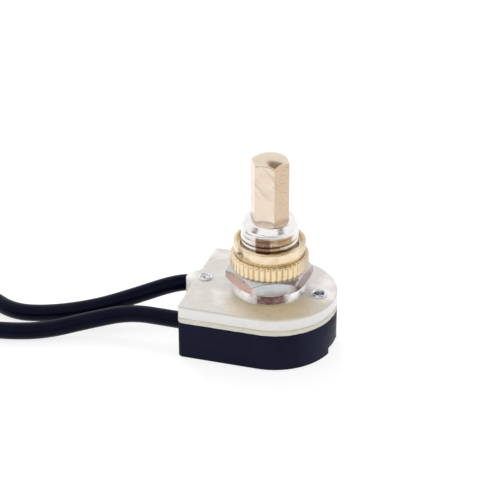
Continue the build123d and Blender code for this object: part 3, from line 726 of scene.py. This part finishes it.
def make_knurled_nut():
    """The ring nut, from its bore around the foot, the knurl and the collar to the recess."""
    rows = [
        (NUT_BORE_R, RECESS_Z - BORE_TOP_CHAMFER), (NUT_BORE_R, KNURL_Z + BORE_FOOT_CHAMFER),
        (NUT_BORE_R + BORE_FOOT_CHAMFER, KNURL_Z), (KNURL_FOOT_R, KNURL_Z),
    ]
    rows += [(knurl_radius(inward), KNURL_Z + away) for inward, away in KNURL_EDGE]
    rows += [(knurl_radius(inward), KNURL_TOP_Z - away) for inward, away in reversed(KNURL_EDGE)]
    rows += [
        (KNURL_SHOULDER_R, KNURL_TOP_Z), (GROOVE_R, KNURL_TOP_Z), (GROOVE_R, KNURL_TOP_Z + GROOVE_HEIGHT),
    ]
    rows += [(COLLAR_R - inward, KNURL_TOP_Z + away) for inward, away in COLLAR_FOOT]
    rows += [(COLLAR_R - inward, COLLAR_TOP_Z - away) for inward, away in COLLAR_EDGE]
    rows += [
        (RECESS_R + RECESS_EDGE, COLLAR_TOP_Z), (RECESS_R, COLLAR_TOP_Z - RECESS_EDGE),
        (RECESS_R, RECESS_Z), (NUT_BORE_R + BORE_TOP_CHAMFER, RECESS_Z),
    ]
    piece = finish_mesh("knurled_ring_nut", polar_mesh(rows, KNURL_TEETH * STEPS_PER_TOOTH, closed=True),
                        materials["polished_brass"], "housing", 40)
    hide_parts("knurled_nut")


def dome_height(radius, drop=0):
    """Height of the spherical end above radius(angle)."""
    def height(angle):
        r = radius(angle)
        return PLUNGER_TOP_Z - DOME_R + sqrt(DOME_R ** 2 - r ** 2) - drop
    return height


def stem_with_flats(angle):
    """The stem's radius where two flats key the pawl disc on to it."""
    off_axis = abs(sin(angle))
    return STEM_FLAT / off_axis if off_axis * STEM_R > STEM_FLAT else STEM_R


def make_plunger():
    """The plunger, from its staked lower end up the stem, the flange and the hexagon to the dome."""
    side = hex_radius(0)
    rows = [
        (0, STAKE_Z), (STAKE_R - PLUNGER_EDGE, STAKE_Z), (STAKE_R, STAKE_Z + PLUNGER_EDGE),
        (STAKE_R, PAWL_DISC_Z), (stem_with_flats, PAWL_DISC_Z + STEM_STEP),
        (stem_with_flats, PAWL_DISC_TOP_Z - STEM_STEP), (STEM_R, PAWL_DISC_TOP_Z), (STEM_R, PLUNGER_FLANGE_Z),
        (PLUNGER_FLANGE_R - PLUNGER_EDGE, PLUNGER_FLANGE_Z),
        (PLUNGER_FLANGE_R, PLUNGER_FLANGE_Z + PLUNGER_EDGE),
        (PLUNGER_FLANGE_R, PLUNGER_FLANGE_TOP_Z - PLUNGER_EDGE),
        (PLUNGER_FLANGE_R - PLUNGER_EDGE, PLUNGER_FLANGE_TOP_Z),
        (side, PLUNGER_FLANGE_TOP_Z), (side, PLUNGER_FLANGE_TOP_Z + FOOT_STEP), (side, PLUNGER_MIDDLE_Z),
    ]
    for inset, drop in DOME_EDGE:
        ring = hex_radius(inset)
        rows.append((ring, dome_height(ring, drop)))
    edge = ring
    for share in DOME_RINGS:
        ring = (lambda angle, share=share: edge(angle) * share)
        rows.append((ring, dome_height(ring)))
    rows.append((0, PLUNGER_TOP_Z))
    piece = finish_mesh("hex_plunger", polar_mesh(rows, PLUNGER_STEPS), materials["plunger_brass"], "plunger")
    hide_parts("plunger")


def make_spring():
    """The return spring, riding on the housing. The real one shortens by the stroke as the plunger goes in.
    """
    bm = bmesh.new()
    bm.from_mesh(nodes["return_spring"].data)
    piece = finish_mesh("coil_spring", bm, materials["spring_steel"], "housing", 40)
    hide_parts("return_spring")
    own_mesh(piece)


def make_rivet(node, name, spread, middle):
    """A semi-tubular rivet with its end rolled over and its middle open. spread widens its end."""
    low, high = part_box(node)
    x = (low.x + high.x) / 2 / MM
    base = low.z / MM
    rows = [(r, base + rise) for r, rise in RIVET_HEAD] + [(RIVET_R, FLANGE_Z)]
    rows += [(r * spread, FLANGE_Z + rise) for r, rise in RIVET_ROLL + middle]
    piece = finish_mesh(name, polar_mesh(rows, RIVET_STEPS, centre=(x, 0)), materials["rivet_nickel"],
                        "housing")
    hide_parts(node)


def turn_corners(turn):
    """Corners of the turn in which a lead's unseen length is put away."""
    corner_r = turn["radius"] / cos(radians(TURN_STEP / 2))
    angles = [radians(a) for a in range(turn["start"], turn["end"] - 1, -TURN_STEP)]
    centre_x, centre_y = TURN_CENTRE
    return [(centre_x + corner_r * cos(a), centre_y + corner_r * sin(a), LEAD_REST_Z) for a in angles]


def round_cord(name, radius, roundness, material):
    """A round cord that has no line yet."""
    curve = bpy.data.curves.new(name, "CURVE")
    curve.dimensions = "3D"
    curve.bevel_depth = radius * MM
    curve.bevel_resolution = roundness
    curve.use_fill_caps = True
    curve.materials.append(material)
    cord = bpy.data.objects.new(name, curve)
    bpy.context.scene.collection.objects.link(cord)
    return cord


def insulated_wire(name, points):
    """A lead's insulation along a NURBS curve, which passes through no point but its ends."""
    wire = round_cord(name, LEAD_OD / 2, LEAD_ROUNDNESS, materials["lead_insulation"])
    spline = wire.data.splines.new("NURBS")
    spline.points.add(len(points) - 1)
    for spot, place in zip(spline.points, points):
        spot.co = (*(Vector(place) * MM), 1)
    spline.order_u = 3
    spline.use_endpoint_u = True
    spline.resolution_u = LEAD_ROWS
    return wire


def twisted_tip(name, points):
    """Bare strands past the end of a lead, twisted about the line of its last run."""
    end = Vector(points[-1])
    along = (end - Vector(points[-2])).normalized()
    side = along.cross(UP).normalized()
    up = side.cross(along)
    tip = round_cord(name, STRAND_R, STRAND_ROUNDNESS, materials["tinned_copper"])
    for ring_r, count in STRAND_RINGS:
        for k in range(count):
            spline = tip.data.splines.new("POLY")
            spline.points.add(STRAND_STEPS)
            reach = TIP_LENGTH - TIP_UNEVENNESS * (k * 7 % 5)
            for i, spot in enumerate(spline.points):
                run = reach * i / STRAND_STEPS
                turn = 2 * pi * (k / count + TURNS_PER_MM * run)
                offset = side * (ring_r * cos(turn)) + up * (ring_r * sin(turn))
                spot.co = (*((end + along * (run - TIP_OVERLAP) + offset) * MM), 1)
    return tip


def make_lead(side, points):
    """A lead with its bare strands."""
    lead = insulated_wire(f"{side}_wire", points)
    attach(lead, "housing")
    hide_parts(f"{side}_lead")
    tip = twisted_tip(f"{side}_wire_strands", points)
    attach(tip, "housing")
    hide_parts(f"{side}_lead_tip")


def make_camera():
    """The photograph's camera. Gives the level directions to its right and towards it."""
    level = cos(CAMERA_ELEVATION)
    back = Vector((sin(CAMERA_AZIMUTH) * level, -cos(CAMERA_AZIMUTH) * level, sin(CAMERA_ELEVATION)))
    right = Vector((cos(CAMERA_AZIMUTH), sin(CAMERA_AZIMUTH), 0))
    up = back.cross(right)
    per_pixel = CAMERA_DISTANCE / FOCAL_PX
    eye = AIM + back * CAMERA_DISTANCE - right * (AIM_RIGHT_PX * per_pixel) - up * (AIM_UP_PX * per_pixel)
    data = bpy.data.cameras.new("camera")
    data.sensor_width = SENSOR_WIDTH
    data.lens = FOCAL_PX * SENSOR_WIDTH / IMAGE_WIDTH
    data.clip_start = CLIP_START
    camera = bpy.data.objects.new("camera", data)
    camera.matrix_world = Matrix((
        (right.x, up.x, back.x, eye.x),
        (right.y, up.y, back.y, eye.y),
        (right.z, up.z, back.z, eye.z),
        (0, 0, 0, 1),
    ))
    bpy.context.scene.collection.objects.link(camera)
    bpy.context.scene.camera = camera
    return right, Vector((back.x, back.y, 0)).normalized()


def make_world(right, towards):
    """Soft white surroundings. Glossy surfaces also see the dark room around the camera."""
    world = bpy.data.worlds.new("studio")
    bpy.context.scene.world = world
    world.use_nodes = True
    made = NodeMaker(world.node_tree)
    made.tree.nodes.clear()
    path = made.add("LightPath").outputs
    place = made.add("TexCoord").outputs["Generated"]
    seen = (1, 1, 1)
    for color, *patch in DARK_PATCHES:
        share = path["Is Glossy Ray"]
        for direction, (low, high) in zip((right, towards, UP), patch):
            ends = (low - SOFT, low + SOFT), (high - SOFT, high + SOFT)
            share = made.product(share, made.window(made.dot(place, direction), *ends, soft=True))
        seen = made.mix(share, seen, color)
    direct = made.maths("MAXIMUM", path["Is Camera Ray"], path["Is Glossy Ray"])
    lit = made.add("Background")
    made.link(seen, lit.inputs["Color"])
    made.link(made.remap(direct, 0, 1, WORLD_STRENGTH, 1), lit.inputs["Strength"])
    made.link(lit.outputs["Background"], made.add("OutputWorld").inputs["Surface"])


def make_lamp():
    """A soft lamp behind the object and to its left, which casts the shadow in front of it."""
    data = bpy.data.lights.new("back_lamp", "AREA")
    data.shape = "SQUARE"
    data.size = LAMP_SIZE
    data.energy = LAMP_POWER
    lamp = bpy.data.objects.new("back_lamp", data)
    lamp.visible_glossy = False
    lamp.location = LAMP_PLACE
    lamp.rotation_mode = "QUATERNION"
    lamp.rotation_quaternion = (LAMP_PLACE - LAMP_AIM).to_track_quat("Z", "Y")
    bpy.context.scene.collection.objects.link(lamp)


def make_floor(towards):
    """A pale floor that shows as white to the camera but for the object's soft shadow. Glossy surfaces
    see it end in the dark room."""
    bm = bmesh.new()
    bmesh.ops.create_grid(bm, x_segments=1, y_segments=1, size=FLOOR_HALF_WIDTH)
    mesh = bpy.data.meshes.new("floor")
    bm.to_mesh(mesh)
    bm.free()
    made = bpy.data.objects.new("floor", mesh)
    made.location = (0, 0, -FLOOR_DROP)
    bpy.context.scene.collection.objects.link(made)
    look = Finish("floor", FLOOR_LIT, 1, Specular_IOR_Level=0, Emission_Color=(1, 1, 1, 1))
    path = look.add("LightPath").outputs
    glossy = path["Is Glossy Ray"]
    shown = look.maths("MAXIMUM", path["Is Camera Ray"], glossy)
    forward = look.dot(look.add("TexCoord").outputs["Object"], towards)
    dark = look.product(glossy, look.remap(forward, *FLOOR_END, soft=True))
    look.tint(FLOOR_SHOWN, shown)
    look.tint(ROOM_COLOR, dark)
    glow = look.product(look.maths("SUBTRACT", shown, dark), FLOOR_GLOW)
    look.link(glow, look.shader.inputs["Emission Strength"])
    mesh.materials.append(look.material)


make_card()
make_bushing()
make_knurled_nut()
make_plunger()
make_spring()
make_rivet("left_rivet", "rolled_rivet_left", 0.98, FUNNEL)
make_rivet("right_rivet", "rolled_rivet_right", 1.08, OPEN_BORE)
make_lead("front", FRONT_ROUTE + turn_corners(FRONT_TURN))
make_lead("rear", REAR_ROUTE + turn_corners(REAR_TURN))
soften_edges("base_housing", BASE_ROUNDING)
soften_edges("hex_nut", HEX_NUT_ROUNDING)
camera_right, camera_side = make_camera()
make_world(camera_right, camera_side)
make_lamp()
make_floor(camera_side)
bpy.context.scene.view_settings.view_transform = "Standard"
